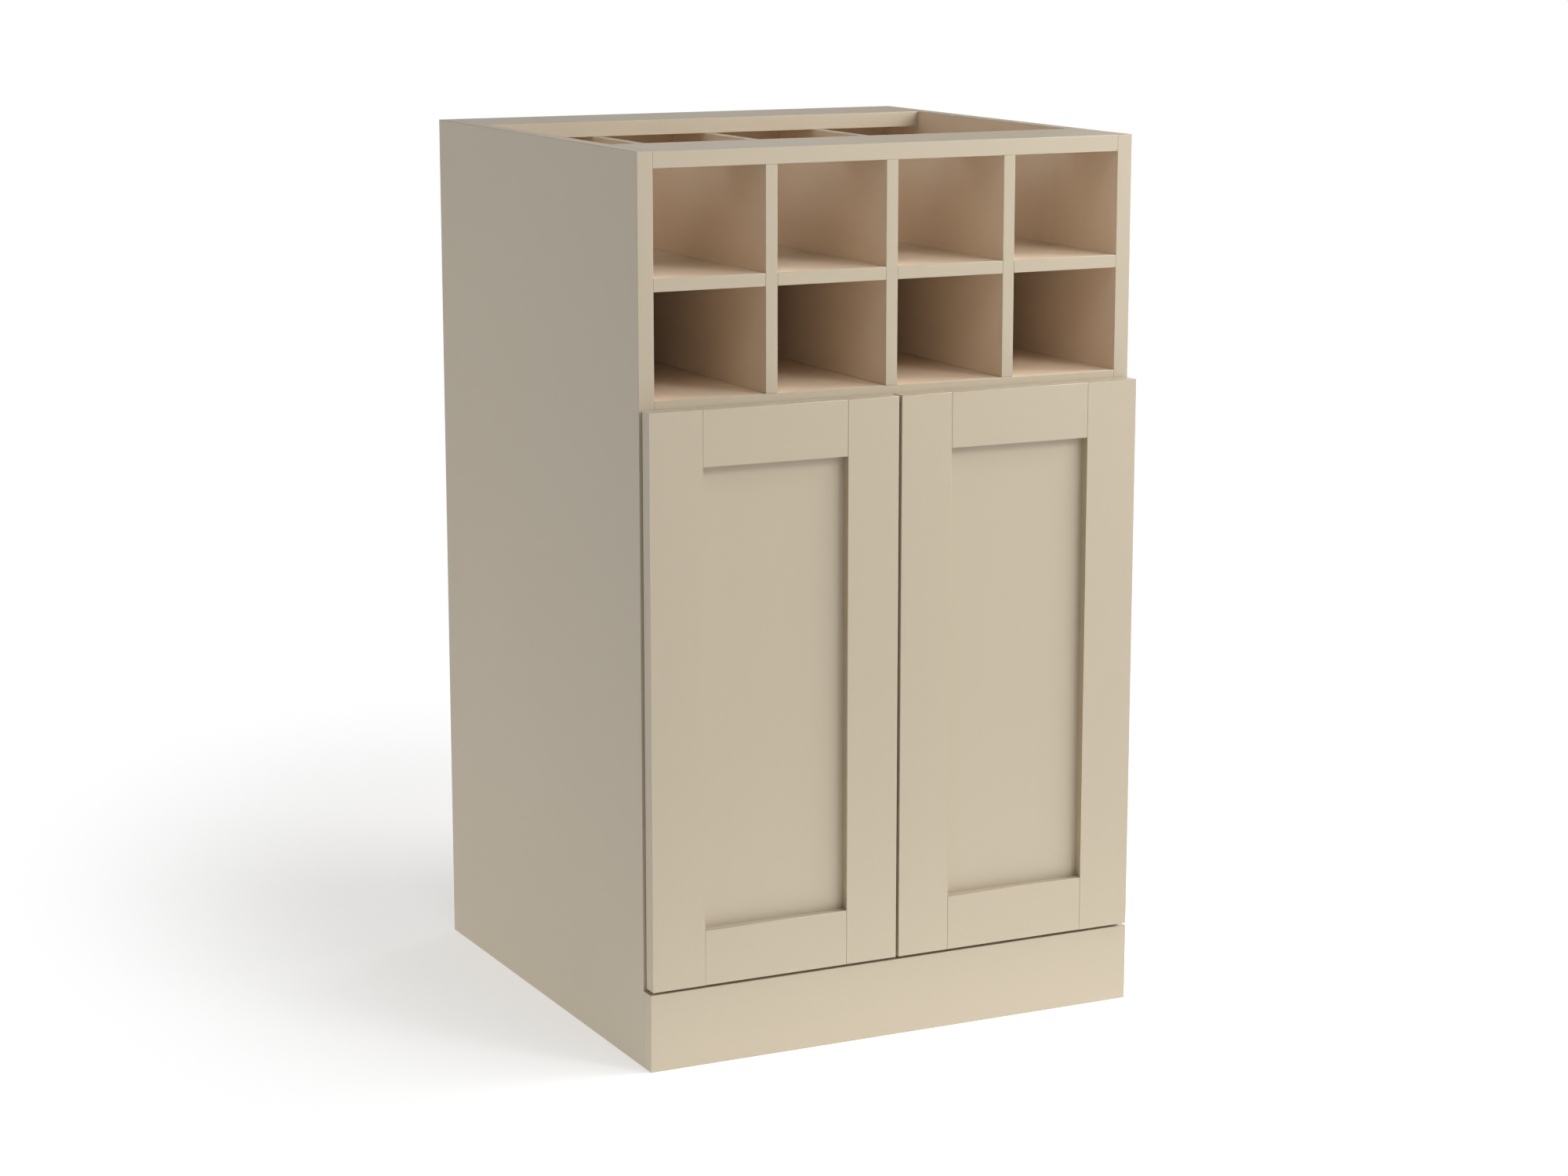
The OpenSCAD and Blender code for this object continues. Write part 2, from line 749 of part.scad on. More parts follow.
door_rail("right", door_z + door_h - door_frame_w, -1);  // door_top_rail_right
door_rail("right", door_z, 1);  // door_bottom_rail_right
door_panel("right");  // door_panel_right
hinge_cups("right");  // hinge_cups_right
hinge_pins("right");  // hinge_pins_right
cup_screws("right");  // cup_screws_right
door_buffers("right");  // door_buffers_right
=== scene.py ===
import math

import bmesh
import bpy
from mathutils import Matrix, Vector


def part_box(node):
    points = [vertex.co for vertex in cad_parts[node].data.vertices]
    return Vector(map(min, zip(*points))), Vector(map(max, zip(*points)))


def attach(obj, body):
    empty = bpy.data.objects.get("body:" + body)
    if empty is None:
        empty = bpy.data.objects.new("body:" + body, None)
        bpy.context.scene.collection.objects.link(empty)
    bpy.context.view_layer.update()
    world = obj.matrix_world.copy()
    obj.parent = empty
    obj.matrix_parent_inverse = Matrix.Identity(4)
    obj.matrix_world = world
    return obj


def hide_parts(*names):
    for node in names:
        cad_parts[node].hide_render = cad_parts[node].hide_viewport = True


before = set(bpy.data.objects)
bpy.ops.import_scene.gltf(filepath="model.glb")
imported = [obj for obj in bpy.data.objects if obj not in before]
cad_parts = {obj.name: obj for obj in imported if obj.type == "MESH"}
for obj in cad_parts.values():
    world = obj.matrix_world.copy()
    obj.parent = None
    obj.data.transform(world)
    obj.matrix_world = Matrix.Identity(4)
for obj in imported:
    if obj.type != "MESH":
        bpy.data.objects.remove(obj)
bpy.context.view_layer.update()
MM = 0.001
X, Y, Z = 0, 1, 2

# ---- Camera: from the front left and a little above, as the photograph was taken

EYE = (-1.7650, -3.6031, 1.2592)
TURN, DIP = 26.18, 11.30
SENSOR, LENS = 36.0, 80.16


def set_camera():
    shot = bpy.data.cameras.new("camera")
    shot.sensor_width, shot.lens = SENSOR, LENS
    camera = bpy.data.objects.new("camera", shot)
    camera.location = EYE
    camera.rotation_euler = (math.radians(90 - DIP), 0, math.radians(-TURN))
    bpy.context.scene.collection.objects.link(camera)
    bpy.context.scene.camera = camera


# ---- Finishes

BEIGE = (0.478, 0.405, 0.294)
# Painted shade: the stiles' inner edges, in the recess round the panel, are painted a little
# deeper and warmer
PAINTED_RECESS_SHADE = (0.98, 0.94, 0.86)
ROSE_BROWN = (0.770, 0.622, 0.468)
BEECH_DARK, BEECH_PALE, BEECH_FLECK = (0.52, 0.33, 0.16), (0.68, 0.47, 0.27), (0.36, 0.20, 0.09)
NICKEL_GREY, ZINC_GREY = (0.72, 0.70, 0.66), (0.60, 0.61, 0.62)
BUFFER_DULL, BUFFER_CLEAR = (0.66, 0.66, 0.62), (0.80, 0.80, 0.77)
# How much of the grain the paint lets through, how far its tone varies, and its open pores
DOOR_GRAIN, CARCASS_GRAIN = 0.45, 0.25
PAINT_VARIES, PORE_SHARE, PORE_TONE = 0.075, 0.10, 0.72
PAINT_IOR, BUFFER_IOR = 1.46, 1.45
WHITE = (1, 1, 1, 1)
UPRIGHT, ACROSS, DEEP = (0, 0, 1), (1, 0, 0), (0, 1, 0)
# The sockets of a Mix node that blends colours
MIX_SHARE, MIX_ONE, MIX_OTHER, MIX_RESULT = 0, 6, 7, 2


class Flow:
    """A number or colour that changes over a surface."""

    def __init__(self, finish, socket):
        self.finish, self.socket = finish, socket

    def _with(self, operation, a, b):
        return self.finish.node("ShaderNodeMath", {"operation": operation}, {0: a, 1: b})

    def __add__(self, other):
        return self._with("ADD", self, other)

    __radd__ = __add__

    def __mul__(self, other):
        return self._with("MULTIPLY", self, other)

    __rmul__ = __mul__

    def __sub__(self, other):
        return self._with("SUBTRACT", self, other)

    def __rsub__(self, other):
        return self._with("SUBTRACT", other, self)

    def between(self, low, high, start=0.0, end=1.0):
        """start below low, end above high, and smooth in between."""
        return self.finish.node(
            "ShaderNodeMapRange", {"interpolation_type": "SMOOTHSTEP"},
            {"Value": self, "From Min": low, "From Max": high, "To Min": start, "To Max": end})


class Finish:
    """A material, or the world, built from nodes."""

    def __init__(self, name, holder=None):
        self.material = holder or bpy.data.materials.new(name)
        self.material.use_nodes = True
        self.tree = self.material.node_tree
        self.tree.nodes.clear()

    def node(self, kind, settings=None, sockets=None, output=0):
        made = self.tree.nodes.new(kind)
        for key, value in (settings or {}).items():
            setattr(made, key, value)
        for key, value in (sockets or {}).items():
            if isinstance(value, Flow):
                self.tree.links.new(value.socket, made.inputs[key])
            else:
                made.inputs[key].default_value = value
        return Flow(self, made.outputs[output]) if made.outputs else None

    def place(self, scale, shift):
        """Object coordinates, scaled and then shifted."""
        spot = self.node("ShaderNodeTexCoord", output="Object")
        return self.node("ShaderNodeMapping",
                         sockets={"Vector": spot, "Scale": scale, "Location": shift})

    def noise(self, scale, detail, shift):
        spot = self.place(scale, (shift,) * 3)
        return self.node("ShaderNodeTexNoise",
                         sockets={"Vector": spot, "Scale": 1.0, "Detail": detail})

    def clouds(self, size, detail=2.0, shift=0.0):
        """Noise whose patches are about size across, in metres."""
        return self.noise((1 / size,) * 3, detail, shift)

    def streaks(self, width, length, along, detail=2.0, shift=0.0):
        """Noise drawn out along the grain, with streaks of that width and length in metres."""
        return self.noise(tuple(1 / (length if a else width) for a in along), detail, shift)

    def blend(self, share, one, other):
        """One colour where share is 0, the other where it is 1."""
        one, other = (c if isinstance(c, Flow) else (*c, 1.0) for c in (one, other))
        return self.node("ShaderNodeMix", {"data_type": "RGBA"},
                         {MIX_SHARE: share, MIX_ONE: one, MIX_OTHER: other}, MIX_RESULT)

    def relief(self, height, depth):
        return self.node("ShaderNodeBump",
                         sockets={"Height": height, "Distance": depth, "Strength": 1.0})

    def surface(self, colour, roughness, normal=None, **constants):
        sockets = {"Base Color": colour, "Roughness": roughness}
        sockets.update({key.replace("_", " "): value for key, value in constants.items()})
        if normal is not None:
            sockets["Normal"] = normal
        shader = self.node("ShaderNodeBsdfPrincipled", sockets=sockets)
        self.node("ShaderNodeOutputMaterial", sockets={"Surface": shader})
        return self.material


def toned(colour, amount):
    return tuple(c * amount for c in colour)


def satin_paint(name, along, grain, shade_tint=(1, 1, 1)):
    """Sprayed beige paint that lets a little of the wood's grain through."""
    f = Finish(name)
    # A tint of 1 leaves the paint as it is; a lower one paints shade into it
    colour = tuple(c * t for c, t in zip(BEIGE, shade_tint))
    fibres = f.streaks(width=1.3 * MM, length=110 * MM, along=along, detail=3.0)
    figure = f.streaks(width=9 * MM, length=320 * MM, along=along, shift=7.3)
    pores = f.streaks(width=0.7 * MM, length=12 * MM, along=along, detail=1.0, shift=3.1)
    pores = pores.between(0.66, 0.74)
    patches = f.clouds(size=140 * MM, shift=1.7)
    film = f.clouds(size=0.9 * MM, detail=1.0)
    shade = fibres * 0.45 + figure * 0.35 + patches * 0.2
    contrast = PAINT_VARIES * grain
    body = f.blend(shade, toned(colour, 1 - contrast), toned(colour, 1 + contrast))
    body = f.blend(pores * (PORE_SHARE * grain), body, toned(colour, PORE_TONE))
    roughness = 0.40 + 0.07 * fibres + 0.05 * patches
    height = fibres * 0.55 + film * 0.25 - pores * (0.5 * grain)
    uneven = f.relief(height, 0.06 * MM * (0.4 + grain))
    return f.surface(body, roughness, uneven, IOR=PAINT_IOR, Specular_IOR_Level=1.0)


def lining_board(name, along):
    """The rose-brown faced board inside the cabinet, with a faint linear grain."""
    f = Finish(name)
    fibres = f.streaks(width=0.9 * MM, length=90 * MM, along=along, detail=3.0, shift=2.2)
    figure = f.streaks(width=14 * MM, length=400 * MM, along=along, shift=5.9)
    patches = f.clouds(size=110 * MM, shift=4.4)
    shade = fibres * 0.4 + figure * 0.4 + patches * 0.2
    body = f.blend(shade, toned(ROSE_BROWN, 0.93), toned(ROSE_BROWN, 1.07))
    roughness = 0.44 + 0.10 * fibres
    return f.surface(body, roughness, f.relief(fibres, 0.04 * MM), IOR=PAINT_IOR)


def bare_beech(name, along):
    """Unpainted beech with its growth rings and short dark flecks."""
    f = Finish(name)
    rings = f.streaks(width=2.5 * MM, length=60 * MM, along=along, detail=3.0)
    flecks = f.streaks(width=0.5 * MM, length=3 * MM, along=along, detail=1.0, shift=2.0)
    body = f.blend(rings, BEECH_DARK, BEECH_PALE)
    body = f.blend(flecks.between(0.6, 0.7) * 0.5, body, BEECH_FLECK)
    return f.surface(body, 0.55 + 0.2 * rings, f.relief(rings, 0.08 * MM))


def plated_steel(name, colour, roughness, brushed):
    """Nickel or zinc plating: fine brush marks and a few duller patches."""
    f = Finish(name)
    marks = f.streaks(width=0.25 * MM, length=12 * MM, along=brushed)
    dull = f.clouds(size=6 * MM, detail=3.0, shift=1.1)
    body = f.blend(dull, toned(colour, 0.9), toned(colour, 1.06))
    roughness = roughness + 0.16 * dull + 0.08 * marks
    return f.surface(body, roughness, f.relief(marks, 0.01 * MM), Metallic=1.0)


def soft_buffer(name):
    """Clear soft plastic, slightly hazy."""
    f = Finish(name)
    haze = f.clouds(size=1.5 * MM)
    body = f.blend(haze, BUFFER_DULL, BUFFER_CLEAR)
    return f.surface(body, 0.35 + 0.2 * haze, IOR=BUFFER_IOR)


DOOR_UPRIGHT = satin_paint("door_paint_upright", UPRIGHT, DOOR_GRAIN)
DOOR_ACROSS = satin_paint("door_paint_across", ACROSS, DOOR_GRAIN)
# The stiles' inner edges, with shade painted into the recess
DOOR_RECESS_SHADE = satin_paint("door_paint_recess_shade", UPRIGHT, DOOR_GRAIN, PAINTED_RECESS_SHADE)
CARCASS_UPRIGHT = satin_paint("carcass_paint_upright", UPRIGHT, CARCASS_GRAIN)
CARCASS_ACROSS = satin_paint("carcass_paint_across", ACROSS, CARCASS_GRAIN)
LINING_UPRIGHT = lining_board("lining_upright", UPRIGHT)
LINING_ACROSS = lining_board("lining_across", ACROSS)
LINING_DEEP = lining_board("lining_deep", DEEP)
BEECH = bare_beech("bare_beech", UPRIGHT)
BEECH_ACROSS = bare_beech("bare_beech_across", ACROSS)
NICKEL = plated_steel("nickel_plating", NICKEL_GREY, 0.20, UPRIGHT)
ZINC = plated_steel("zinc_plating", ZINC_GREY, 0.32, ACROSS)
BUFFER = soft_buffer("clear_buffer")

# ---- Boards

# Points nearer to each other than this are one, and so are faces that meet at less than this
MERGE, FLAT = 0.5e-6, math.radians(0.4)
# What counts as a board's shoulder, and as a face that looks the way asked for
SAME_FACE, FACES_THAT_WAY = 0.01 * MM, 0.99
# Corners sharper than this are eased
CORNER = math.radians(60)
SHORTEST_EASED, EASE_STEPS = 12 * MM, 2
DOOR_EASE, CARCASS_EASE = 0.6 * MM, 0.45 * MM
# How far a board's shoulder is drawn in from the board it meets
DOOR_LINE, CARCASS_LINE = 0.10 * MM, 0.03 * MM


def joined_copy(node):
    """A node's mesh with its loose triangles joined and its flat faces made whole."""
    bm = bmesh.new()
    bm.from_mesh(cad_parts[node].data)
    bmesh.ops.remove_doubles(bm, verts=bm.verts[:], dist=MERGE)
    bmesh.ops.dissolve_limit(bm, angle_limit=FLAT, verts=bm.verts[:], edges=bm.edges[:])
    for f in bm.faces:
        f.smooth = False
    return bm


def ease(bm, width, shortest=SHORTEST_EASED):
    """Rounds the outward corners that are longer than shortest, as sandpaper does."""
    bm.normal_update()
    corners = [e for e in bm.edges
               if len(e.link_faces) == 2 and e.is_convex and e.calc_length() > shortest
               and e.calc_face_angle() > CORNER]
    made = bmesh.ops.bevel(bm, geom=corners, offset=width, offset_type="OFFSET", affect="EDGES",
                           segments=EASE_STEPS, profile=0.5, material=-1, clamp_overlap=True)
    for f in made["faces"]:
        f.smooth = True


def draw_in(bm, axis, at, line):
    """Draws a board's shoulder in from its neighbour, so that a fine line shows between them."""
    middle = sum(v.co[axis] for v in bm.verts) / len(bm.verts)
    for v in bm.verts:
        if abs(v.co[axis] - at) < SAME_FACE:
            v.co[axis] += math.copysign(line, middle - at)


def set_down(bm, name, body, materials, nodes):
    """Makes the piece, sets its materials, ties it to its body and hides the nodes it stands for.
    """
    mesh = bpy.data.meshes.new(name)
    bm.to_mesh(mesh)
    bm.free()
    for material in materials:
        mesh.materials.append(material)
    piece = bpy.data.objects.new(name, mesh)
    bpy.context.scene.collection.objects.link(piece)
    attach(piece, body)
    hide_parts(*nodes)


def board(node, body, paint, eased, lining=None, lined=(), meets=(), line=CARCASS_LINE):
    """One board: painted, with the faces that look one of the ways in lined faced with lining."""
    bm = joined_copy(node)
    for axis, at in meets:
        draw_in(bm, axis, at, line)
    ease(bm, eased)
    for f in bm.faces:
        f.material_index = int(any(f.normal.dot(Vector(way)) > FACES_THAT_WAY for way in lined))
    materials = [paint, lining] if lining else [paint]
    set_down(bm, node + "_board", body, materials, [node])


def carcass_board(node, paint, lining=None, lined=(), meets=()):
    board(node, "carcass", paint, CARCASS_EASE, lining, lined, meets)


def door_board(node, body, paint, lining=None, lined=(), meets=()):
    board(node, body, paint, DOOR_EASE, lining, lined, meets, DOOR_LINE)


LEFT, RIGHT, FRONT, BACK = (-1, 0, 0), (1, 0, 0), (0, -1, 0), (0, 1, 0)
UNDER, OVER = (0, 0, -1), (0, 0, 1)
LEFT_WALL, RIGHT_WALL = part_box("side_panel_left")[1][X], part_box("side_panel_right")[0][X]
BETWEEN_SIDES = ((X, LEFT_WALL), (X, RIGHT_WALL))
RACK_TOP, RACK_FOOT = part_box("top_rail_front")[0][Z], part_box("rack_base")[1][Z]
IN_RACK = ((Z, RACK_TOP), (Z, RACK_FOOT))

carcass_board("side_panel_left", CARCASS_UPRIGHT, LINING_UPRIGHT, [RIGHT])
carcass_board("side_panel_right", CARCASS_UPRIGHT, LINING_UPRIGHT, [LEFT])
for node in ("bottom_panel", "rack_base"):
    carcass_board(node, CARCASS_ACROSS, LINING_ACROSS, [OVER, UNDER],
                  BETWEEN_SIDES)
carcass_board("back_panel", CARCASS_UPRIGHT, LINING_UPRIGHT, [FRONT, BACK])
for node in ("top_rail_front", "top_rail_back"):
    carcass_board(node, CARCASS_ACROSS, meets=BETWEEN_SIDES)
carcass_board("rack_shelf", CARCASS_ACROSS, LINING_ACROSS, [OVER, UNDER],
              BETWEEN_SIDES)
for place in ("left", "middle", "right"):
    carcass_board("rack_divider_" + place, CARCASS_UPRIGHT, LINING_DEEP,
                  [LEFT, RIGHT], IN_RACK)
carcass_board("cupboard_shelf", CARCASS_ACROSS, LINING_ACROSS, [OVER, UNDER])
carcass_board("plinth_board", CARCASS_ACROSS)

for side, inward, outward in (("left", RIGHT, LEFT), ("right", LEFT, RIGHT)):
    body = "door_" + side
    stiles = [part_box("%s_stile_%s" % (kind, side)) for kind in ("hinge", "meeting")]
    shoulders = (min(high[X] for low, high in stiles), max(low[X] for low, high in stiles))
    # The stiles' faces towards the panel take the paint with painted shade
    door_board("hinge_stile_" + side, body, DOOR_UPRIGHT, DOOR_RECESS_SHADE, [inward])
    door_board("meeting_stile_" + side, body, DOOR_UPRIGHT, DOOR_RECESS_SHADE, [outward])
    door_board("door_panel_" + side, body, DOOR_UPRIGHT)
    for rail in ("door_top_rail_", "door_bottom_rail_"):
        door_board(rail + side, body, DOOR_ACROSS, meets=[(X, at) for at in shoulders])

# ---- Hardware

PRESSED_EASE, TURNED_EASE = 0.3 * MM, 0.25 * MM
BLOCK_EASE, DOWEL_EASE, BUFFER_EASE = 0.6 * MM, 0.5 * MM, 0.5 * MM
SHORTEST_FITTING_EDGE = 0.2 * MM
# Faces that meet at less than this belong to one round surface
CURVE = math.radians(35)
# Head radius, head height and shank radius
PLINTH_SCREW = (4.0 * MM, 2.4 * MM, 2.0 * MM)
PLATE_SCREW = (4.2 * MM, 1.4 * MM, 2.45 * MM)
ARM_SCREW = (3.4 * MM, 1.8 * MM, 1.9 * MM)
CUP_SCREW = (3.2 * MM, 0.9 * MM, 1.5 * MM)
# The recess against the head, its arms, its depth and how its floor narrows
CROSS_SHARE, CROSS_ARM, CROSS_DEPTH, CROSS_TAPER = 0.56, 0.30, 0.62, 0.55
# The head's flat top, its shoulder's radius and height, and how high its straight side is
HEAD_STEPS, HEAD_FLAT = 24, 0.78
SHOULDER, SHOULDER_UP, SIDE_UP = 0.93, 0.86, 0.5
POINT_LENGTH, POINT_SHARE = 2.6 * MM, 0.15
# Inside the recess's grid, and on one of its two middle lines
INSIDE, ON_LINE = 0.9, 0.01
# Each screw is turned by this more than the one before, in radians
TURN_EACH = 0.9


def smooth_rounds(bm):
    """Shades the round surfaces smooth and keeps the edges between flat ones sharp."""
    for f in bm.faces:
        f.smooth = True
    bm.normal_update()
    for e in bm.edges:
        e.smooth = len(e.link_faces) == 2 and e.calc_face_angle() < CURVE


def fitting(node, body, finish, eased):
    """A fitting with its edges eased and its round faces smooth."""
    bm = joined_copy(node)
    ease(bm, eased, SHORTEST_FITTING_EDGE)
    smooth_rounds(bm)
    set_down(bm, node + "_fitting", body, [finish], [node])


def solids(node):
    """The low and high corners of each separate solid of a node."""
    bm = joined_copy(node)
    left, boxes = set(bm.verts), []
    while left:
        reached, found = [left.pop()], []
        while reached:
            v = reached.pop()
            found.append(v.co.copy())
            for e in v.link_edges:
                other = e.other_vert(v)
                if other in left:
                    left.remove(other)
                    reached.append(other)
        boxes.append([Vector([pick(c[a] for c in found) for a in (X, Y, Z)])
                      for pick in (min, max)])
    bm.free()
    return sorted(boxes, key=lambda box: tuple(round(c, 4) for c in box[0]))


def cross_head_screw(bm, head_r, head_t, shank_r, shank_l):
    """A screw standing on its point along Z, its head seated at the origin."""
    half = head_r * CROSS_SHARE / 2 * math.sqrt(2)
    bmesh.ops.create_grid(bm, x_segments=3, y_segments=3, size=half)
    for v in bm.verts:
        for axis in (X, Y):
            if abs(v.co[axis]) < half * INSIDE:
                v.co[axis] = math.copysign(half * CROSS_ARM, v.co[axis])
        v.co.z = head_t
    cross = [f for f in bm.faces
             if min(abs(c) for c in f.calc_center_median().xy) < half * ON_LINE]
    rim = [e for e in bm.edges if e.is_boundary]
    sunk = bmesh.ops.extrude_face_region(bm, geom=cross)["geom"]
    bmesh.ops.delete(bm, geom=cross, context="FACES")
    bottom = head_t * (1 - CROSS_DEPTH)
    for v in (g for g in sunk if isinstance(g, bmesh.types.BMVert)):
        v.co = Vector((v.co.x * CROSS_TAPER, v.co.y * CROSS_TAPER, bottom))
    ring = bmesh.ops.create_circle(bm, segments=HEAD_STEPS, radius=head_r * HEAD_FLAT)["verts"]
    for v in ring:
        v.co.z = head_t
    edge = [e for e in bm.edges if all(v in ring for v in e.verts)]
    bmesh.ops.bridge_loops(bm, edges=rim + edge)
    outline = ((head_r * SHOULDER, head_t * SHOULDER_UP), (head_r, head_t * SIDE_UP), (head_r, 0),
               (shank_r, 0), (shank_r, POINT_LENGTH - shank_l), (shank_r * POINT_SHARE, -shank_l))
    for radius, z in outline:
        grown = bmesh.ops.extrude_edge_only(bm, edges=edge)["geom"]
        edge = [g for g in grown if isinstance(g, bmesh.types.BMEdge)]
        for v in (g for g in grown if isinstance(g, bmesh.types.BMVert)):
            way = v.co.xy.normalized() * radius
            v.co = Vector((way.x, way.y, z))
    bmesh.ops.contextual_create(bm, geom=edge)
    bmesh.ops.recalc_face_normals(bm, faces=bm.faces[:])


def screws(node, body, slot, finish, head_r, head_t, shank_r):
    """One cross-head screw for each solid of the node, its head at the end that can be reached."""
    bm = bmesh.new()
    for count, (low, high) in enumerate(solids(node)):
        size, centre = high - low, (low + high) / 2
        axis = max((X, Y, Z), key=lambda a: size[a])
        way = Vector((0, 0, 0))
        way[axis] = 1 if axis == Y or centre.x < 0 else -1
        one = bmesh.new()
        cross_head_screw(one, head_r, head_t, shank_r, size[axis] - head_t)
        seat = Matrix.Translation(centre + way * (size[axis] / 2 - head_t))
        lean = way.to_track_quat("Z", "Y").to_matrix().to_4x4()
        one.transform(seat @ lean @ Matrix.Rotation(count * TURN_EACH, 4, "Z"))
        mesh = bpy.data.meshes.new("screw")
        one.to_mesh(mesh)
        one.free()
        bm.from_mesh(mesh)
        bpy.data.meshes.remove(mesh)
    smooth_rounds(bm)
    set_down(bm, node + "_crossed", body, [finish], [node])


fitting("plinth_blocks", "carcass", BEECH_ACROSS, BLOCK_EASE)
fitting("carcass_dowels", "carcass", BEECH_ACROSS, DOWEL_EASE)
fitting("rack_dowels", "carcass", BEECH, DOWEL_EASE)
fitting("cam_housings", "carcass", ZINC, TURNED_EASE)
fitting("cam_bolts", "carcass", ZINC, TURNED_EASE)
fitting("shelf_pins", "carcass", NICKEL, TURNED_EASE)
screws("plinth_screws", "carcass", "zinc", ZINC, *PLINTH_SCREW)
screws("plate_screws", "carcass", "zinc", ZINC, *PLATE_SCREW)
screws("arm_screws", "carcass", "zinc", ZINC, *ARM_SCREW)
for side in ("left", "right"):
    door = "door_" + side
    fitting("hinge_plates_" + side, "carcass", NICKEL, PRESSED_EASE)
    fitting("hinge_arms_" + side, "carcass", NICKEL, PRESSED_EASE)
    fitting("hinge_cups_" + side, door, NICKEL, PRESSED_EASE)
    fitting("hinge_pins_" + side, door, ZINC, TURNED_EASE)
    screws("cup_screws_" + side, door, "zinc", ZINC, *CUP_SCREW)
    fitting("door_buffers_" + side, door, BUFFER, BUFFER_EASE)

# ---- Floor and light

FLOOR_RADIUS, FLOOR_STEPS = 40, 96
# What the camera, gloss and glass see: a pale floor with a glow that keeps it near white
PALE_FLOOR, FLOOR_GLOW = 0.90, 0.36
# Its shadow fades to white between these distances from a point behind the cabinet's middle,
# and reaches that many times further in depth than in width
SHADOW_FADES, SHADOW_GONE = 0.38, 0.83
SHADOW_CENTRE, SHADOW_REACH = 0.25, 1.6
# What the other surfaces are lit by: a matt floor that gives back more light than it gets,
# as a lit studio floor does, but only beside the cabinet and not under it
MATT_FLOOR, FLOOR_LIFT = 0.80, 0.774
LIFT_NEAR, LIFT_FAR = 0.5, 1.1
UNDER_IT, BESIDE_IT = 0.27, 0.30
# A broad soft light from the front right that ends between 33 and 58 degrees up
SOFT_SIDE, SIDE_SPREAD = 1.08, 0.3
SOFT_TOP, SOFT_END = 0.55, 0.85
# What gloss shows: white at the horizon and dim overhead
WHITE_UP_TO, DIM_FROM, OVERHEAD = math.sin(math.radians(6)), math.sin(math.radians(14)), 0.1
# The lamps point at the cabinet's middle
AIM = Vector((0, 0, 0.45))
# Name, degrees right of the front, degrees up, distance, size and strength
LAMPS = (
    ("key", 25, 35, 2.4, 0.5, 11.0),
    ("low_front", -26, 10, 2.6, 0.5, 3.0),
    ("right", 50, 25, 2.2, 0.8, 8.6),
    ("high_right", 70, 40, 2.2, 0.8, 20.3),
    ("high_left", -20, 50, 2.4, 1.2, 8.2),
    ("left", -110, 25, 2.4, 1.6, 10.6),
    ("high_behind", 165, 45, 2.4, 1.2, 4.2),
    ("behind", 130, 6, 2.4, 0.9, 14.7),
    ("low_right", 40, -3.9, 1.85, 0.65, 1.15),
    ("low_left", -110, -3.9, 1.85, 0.65, 2.9),
)


def hang_lamp(name, right, up, distance, size, strength):
    a, e = math.radians(right), math.radians(up)
    way = Vector((math.sin(a) * math.cos(e), -math.cos(a) * math.cos(e), math.sin(e)))
    lamp = bpy.data.lights.new(name, "AREA")
    lamp.shape, lamp.size, lamp.energy = "SQUARE", size, strength
    hung = bpy.data.objects.new(name, lamp)
    hung.location = AIM + way * distance
    hung.rotation_euler = (-way).to_track_quat("-Z", "Y").to_euler()
    hung.visible_camera = False
    bpy.context.scene.collection.objects.link(hung)


def grey(level):
    return (level, level, level, 1.0)


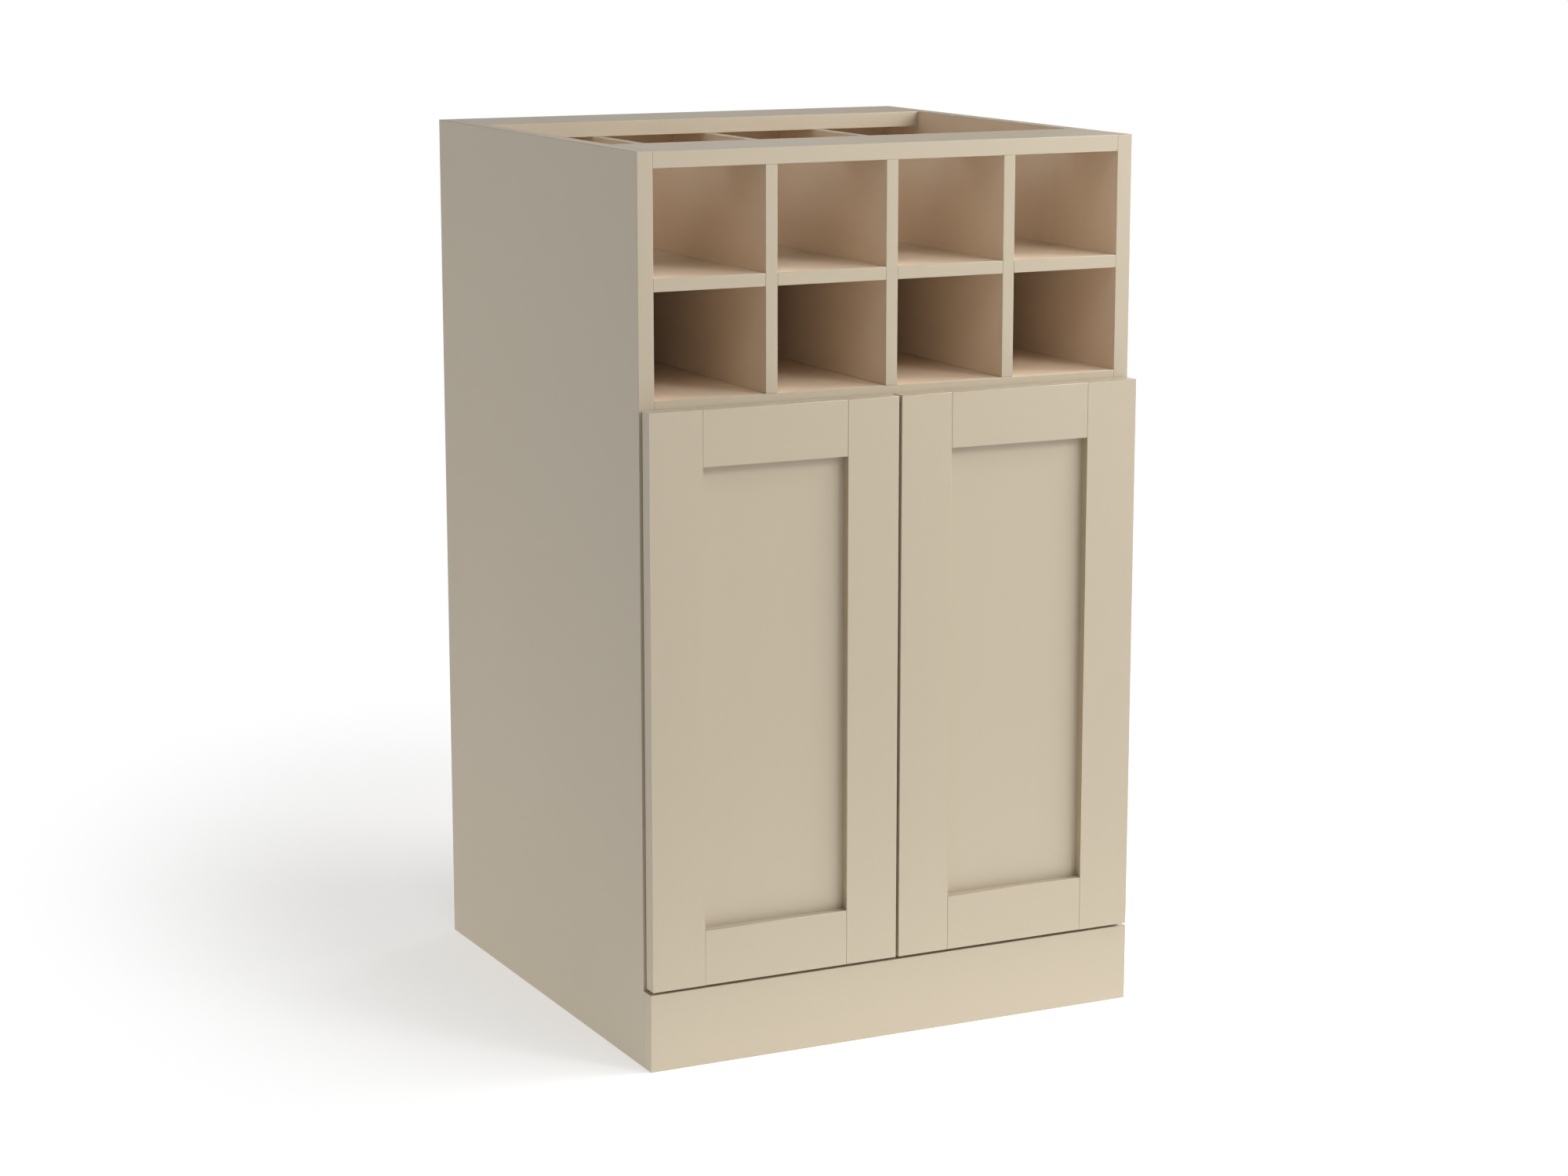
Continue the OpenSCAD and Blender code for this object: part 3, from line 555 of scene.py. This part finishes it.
def lay_floor():
    """A pale floor that reads white where no shadow falls."""
    bm = bmesh.new()
    bmesh.ops.create_circle(bm, cap_ends=True, segments=FLOOR_STEPS, radius=FLOOR_RADIUS)
    mesh = bpy.data.meshes.new("floor")
    bm.to_mesh(mesh)
    bm.free()
    f = Finish("pale_floor")
    lit = f.node("ShaderNodeBsdfDiffuse", sockets={"Color": grey(PALE_FLOOR)})
    glow = f.node("ShaderNodeEmission", sockets={"Color": WHITE, "Strength": FLOOR_GLOW})
    near = f.node("ShaderNodeAddShader", sockets={0: lit, 1: glow})
    white = f.node("ShaderNodeEmission", sockets={"Color": WHITE, "Strength": 1.0})
    drawn = f.place((1, 1 / SHADOW_REACH, 1), (0, -SHADOW_CENTRE / SHADOW_REACH, 0))
    away = f.node("ShaderNodeVectorMath", {"operation": "LENGTH"}, {0: drawn}, "Value")
    faded = away.between(SHADOW_FADES, SHADOW_GONE)
    seen = f.node("ShaderNodeMixShader", sockets={0: faded, 1: near, 2: white})
    spot = f.node("ShaderNodeTexCoord", output="Object")
    out = f.node("ShaderNodeVectorMath", {"operation": "LENGTH"}, {0: spot}, "Value")
    aside = f.node("ShaderNodeVectorMath", {"operation": "ABSOLUTE"}, {0: spot})
    across, deep = (f.node("ShaderNodeSeparateXYZ", sockets={0: aside}, output=a) for a in "XY")
    further = f.node("ShaderNodeMath", {"operation": "MAXIMUM"}, {0: across, 1: deep})
    beside = further.between(UNDER_IT, BESIDE_IT)
    lifted = FLOOR_LIFT * beside * (1 - out.between(LIFT_NEAR, LIFT_FAR))
    matt = f.node("ShaderNodeBsdfDiffuse", sockets={"Color": grey(MATT_FLOOR)})
    lift = f.node("ShaderNodeEmission", sockets={"Color": WHITE, "Strength": lifted})
    bounce = f.node("ShaderNodeAddShader", sockets={0: matt, 1: lift})
    camera = f.node("ShaderNodeLightPath", output="Is Camera Ray")
    glossy = f.node("ShaderNodeLightPath", output="Is Glossy Ray")
    clear = f.node("ShaderNodeLightPath", output="Is Transmission Ray")
    whole = f.node("ShaderNodeMixShader", sockets={0: camera + glossy + clear, 1: bounce, 2: seen})
    f.node("ShaderNodeOutputMaterial", sockets={"Surface": whole})
    mesh.materials.append(f.material)
    floor = bpy.data.objects.new("floor", mesh)
    bpy.context.scene.collection.objects.link(floor)


def light_world():
    """Soft light from the front right. Its gloss is white at the horizon and dim overhead."""
    world = bpy.data.worlds.new("studio")
    bpy.context.scene.world = world
    f = Finish("studio", world)
    way = f.node("ShaderNodeTexCoord", output="Generated")
    side, depth, height = (f.node("ShaderNodeSeparateXYZ", sockets={0: way}, output=a)
                           for a in "XYZ")
    right = side.between(-SIDE_SPREAD, SIDE_SPREAD)
    front = depth.between(-SIDE_SPREAD, SIDE_SPREAD, 1.0, 0.0)
    light = SOFT_SIDE * right * front * height.between(SOFT_TOP, SOFT_END, 1.0, 0.0)
    gloss = height.between(WHITE_UP_TO, DIM_FROM, 1.0, OVERHEAD)
    lights = f.node("ShaderNodeLightPath", output="Is Diffuse Ray")
    glossy = f.node("ShaderNodeLightPath", output="Is Glossy Ray")
    strength = lights * light + glossy * gloss + (1 - lights - glossy)
    shade = f.node("ShaderNodeBackground", sockets={"Color": WHITE, "Strength": strength})
    f.node("ShaderNodeOutputWorld", sockets={"Surface": shade})


set_camera()
light_world()
lay_floor()
for lamp in LAMPS:
    hang_lamp(*lamp)
bpy.context.scene.view_settings.view_transform = "Standard"
